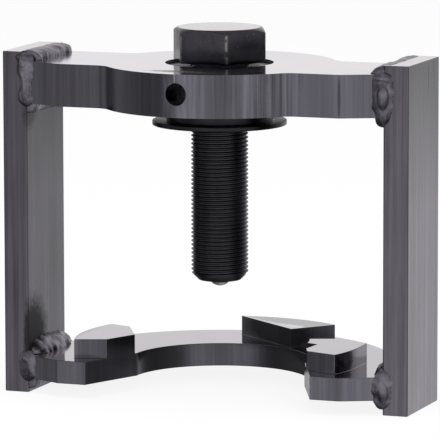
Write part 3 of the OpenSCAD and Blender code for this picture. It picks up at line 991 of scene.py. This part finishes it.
class PULLER_OT_stage(bpy.types.Operator):
    """Adds the floor, the lights, the white surroundings and the camera"""

    bl_idname = "puller.stage"
    bl_label = "Stage"

    def execute(self, context):
        self.add_floor()
        self.add_world(context.scene)
        self.add_light("top light", (0.2, -0.3, 1.6), size=1.2, power=14)
        self.add_light("right light", (1.2, -0.9, 0.7), size=0.8, power=8)
        self.add_camera(context.scene)
        context.scene.view_settings.view_transform = "Standard"
        return {"FINISHED"}

    # Brightness of the surroundings below the horizon by direction, in degrees from +X round through the back
    low_ring = (
        (-180, 0.42), (-172, 0.44), (-162, 0.46), (-150, 0.33), (-138, 0.29), (-127, 0.36), (-118, 0.62),
        (-108, 0.95), (-97, 1.04), (-84, 0.98), (-70, 0.76), (-58, 0.95), (-46, 1.12), (-34, 0.95),
        (-20, 0.7), (-6, 0.58), (8, 0.42), (24, 0.18), (42, 0.3), (56, 0.65), (68, 0.92), (92, 0.9),
        (112, 0.5), (128, 0.55), (140, 0.25), (150, 0.2), (161, 0.32), (172, 0.4), (180, 0.42),
    )
    # And above it, up to where it gets dim overhead
    high_ring = ((-180, 0.5), (-110, 0.85), (-40, 0.85), (20, 0.6), (60, 1.0), (150, 1.0), (180, 0.5))

    def mirrored(self, finish):
        """The surroundings that show in the metal, by direction."""
        way = {0: finish.place}
        x, y, z = (finish.node("ShaderNodeSeparateXYZ", inputs=way, output=i) for i in range(3))
        angle = finish.node("ShaderNodeMath", {"operation": "ARCTAN2"}, {0: y, 1: x})
        share = finish.ramp(angle, -math.pi, math.pi)
        peak = max(bright for _, bright in self.low_ring)
        rings = []
        for ring in (self.low_ring, self.high_ring):
            stops = [((degrees + 180) / 360, bright / peak) for degrees, bright in ring]
            tone = finish.node("ShaderNodeValToRGB", {"stops": stops}, {0: share})
            rings.append(finish.shaded(tone, peak))
        low, high = rings
        tint = Vector((1.0, 0.975, 0.99))
        high = finish.node("ShaderNodeVectorMath", {"operation": "MULTIPLY"}, {0: high, 1: tint})
        # Darker straight overhead and towards the ground under the object
        dim = finish.ramp(z, 0.3, 0.7, 1.0, 0.55)
        deep = finish.ramp(z, -0.75, -0.3, 0.35, 1.0)
        return finish.mix(finish.ramp(z, -0.02, 0.06), finish.shaded(low, deep), finish.shaded(high, dim))

    @staticmethod
    def add_floor():
        """A white floor that takes a soft shadow and stays out of the metal's reflections."""
        bm = bmesh.new()
        bmesh.ops.create_grid(bm, x_segments=1, y_segments=1, size=4.0)
        mesh = bpy.data.meshes.new("floor")
        bm.to_mesh(mesh)
        bm.free()
        floor = bpy.data.objects.new("floor", mesh)
        floor.visible_glossy = False
        bpy.context.scene.collection.objects.link(floor)
        finish = Finish("floor paint")
        camera = finish.node("ShaderNodeLightPath", output="Is Camera Ray")
        paint = finish.node("ShaderNodeBsdfDiffuse", inputs={"Color": (0.85, 0.85, 0.85, 1)})
        white = finish.node("ShaderNodeEmission", inputs={"Color": (1, 1, 1, 1), "Strength": 1.0})
        # The share of plain white that hides the floor's far shading
        glow = camera * 0.88
        both = finish.node("ShaderNodeMixShader", inputs={0: glow, 1: paint, 2: white})
        mesh.materials.append(finish.output(both))

    def add_world(self, scene):
        """Surroundings that are white behind the object, even in their light, and uneven in reflections."""
        finish = Finish("studio", world=True)
        ring = self.mirrored(finish)
        camera = finish.node("ShaderNodeLightPath", output="Is Camera Ray")
        gloss = finish.node("ShaderNodeLightPath", output="Is Glossy Ray")
        soft = finish.node("ShaderNodeBackground", inputs={"Color": (1, 1, 1, 1), "Strength": 0.8})
        white = finish.node("ShaderNodeBackground", inputs={"Color": (1, 1, 1, 1), "Strength": 1.0})
        uneven = finish.node("ShaderNodeBackground", inputs={"Color": ring, "Strength": 1.0})
        plain = finish.node("ShaderNodeMixShader", inputs={0: camera, 1: soft, 2: white})
        both = finish.node("ShaderNodeMixShader", inputs={0: gloss, 1: plain, 2: uneven})
        scene.world = finish.output(both)

    @staticmethod
    def add_light(name, place, size, power):
        """A square lamp, in metres and watts, that faces the object and isn't mirrored in it."""
        lamp = bpy.data.lights.new(name, "AREA")
        lamp.size = size
        lamp.energy = power
        light = bpy.data.objects.new(name, lamp)
        light.location = place
        light.rotation_euler = (Vector((0, 0, 0.08)) - Vector(place)).to_track_quat("-Z", "Y").to_euler()
        light.visible_glossy = False
        bpy.context.scene.collection.objects.link(light)

    @staticmethod
    def add_camera(scene):
        """A long lens that looks at the object from its right and a little from above."""
        yaw, pitch, roll = (math.radians(a) for a in (20.523, 8.2, -0.115))
        place = Vector((726.57, -1940.63, 377.94)) * MM
        lens = bpy.data.cameras.new("camera")
        lens.sensor_width = 36
        lens.lens = 384.725
        lens.clip_start, lens.clip_end = 0.1, 20
        camera = bpy.data.objects.new("camera", lens)
        turn = Matrix.Rotation(yaw, 4, "Z") @ Matrix.Rotation(math.pi / 2 - pitch, 4, "X")
        turn = turn @ Matrix.Rotation(roll, 4, "Z")
        camera.matrix_world = Matrix.Translation(place) @ turn
        scene.collection.objects.link(camera)
        scene.camera = camera


class PULLER_PT_sidebar(bpy.types.Panel):
    """Lists the puller's pieces"""

    bl_idname = "PULLER_PT_sidebar"
    bl_label = "Puller"
    bl_space_type = "VIEW_3D"
    bl_region_type = "UI"
    bl_category = "Puller"

    def draw(self, context):
        for name in ("edge", "pitch", "bar_colour", "plate_colour", "screw_colour"):
            self.layout.prop(context.scene.puller_sizes, name)
        for operator in OPERATORS:
            self.layout.operator(operator.bl_idname)


OPERATORS = (
    PULLER_OT_bars,
    PULLER_OT_plates,
    PULLER_OT_welds,
    PULLER_OT_bushing,
    PULLER_OT_lock_screw,
    PULLER_OT_forcing_screw,
    PULLER_OT_ball,
    PULLER_OT_stage,
)
CLASSES = (PullerSizes, *OPERATORS, PULLER_PT_sidebar)


def register():
    for cls in CLASSES:
        bpy.utils.register_class(cls)
    bpy.types.Scene.puller_sizes = bpy.props.PointerProperty(type=PullerSizes)


def unregister():
    del bpy.types.Scene.puller_sizes
    for cls in reversed(CLASSES):
        bpy.utils.unregister_class(cls)


def main():
    register()
    bpy.ops.puller.bars()
    bpy.ops.puller.plates()
    bpy.ops.puller.welds()
    bpy.ops.puller.bushing()
    bpy.ops.puller.lock_screw()
    bpy.ops.puller.forcing_screw()
    bpy.ops.puller.ball()
    bpy.ops.puller.stage()


if __name__ == "__main__":
    main()
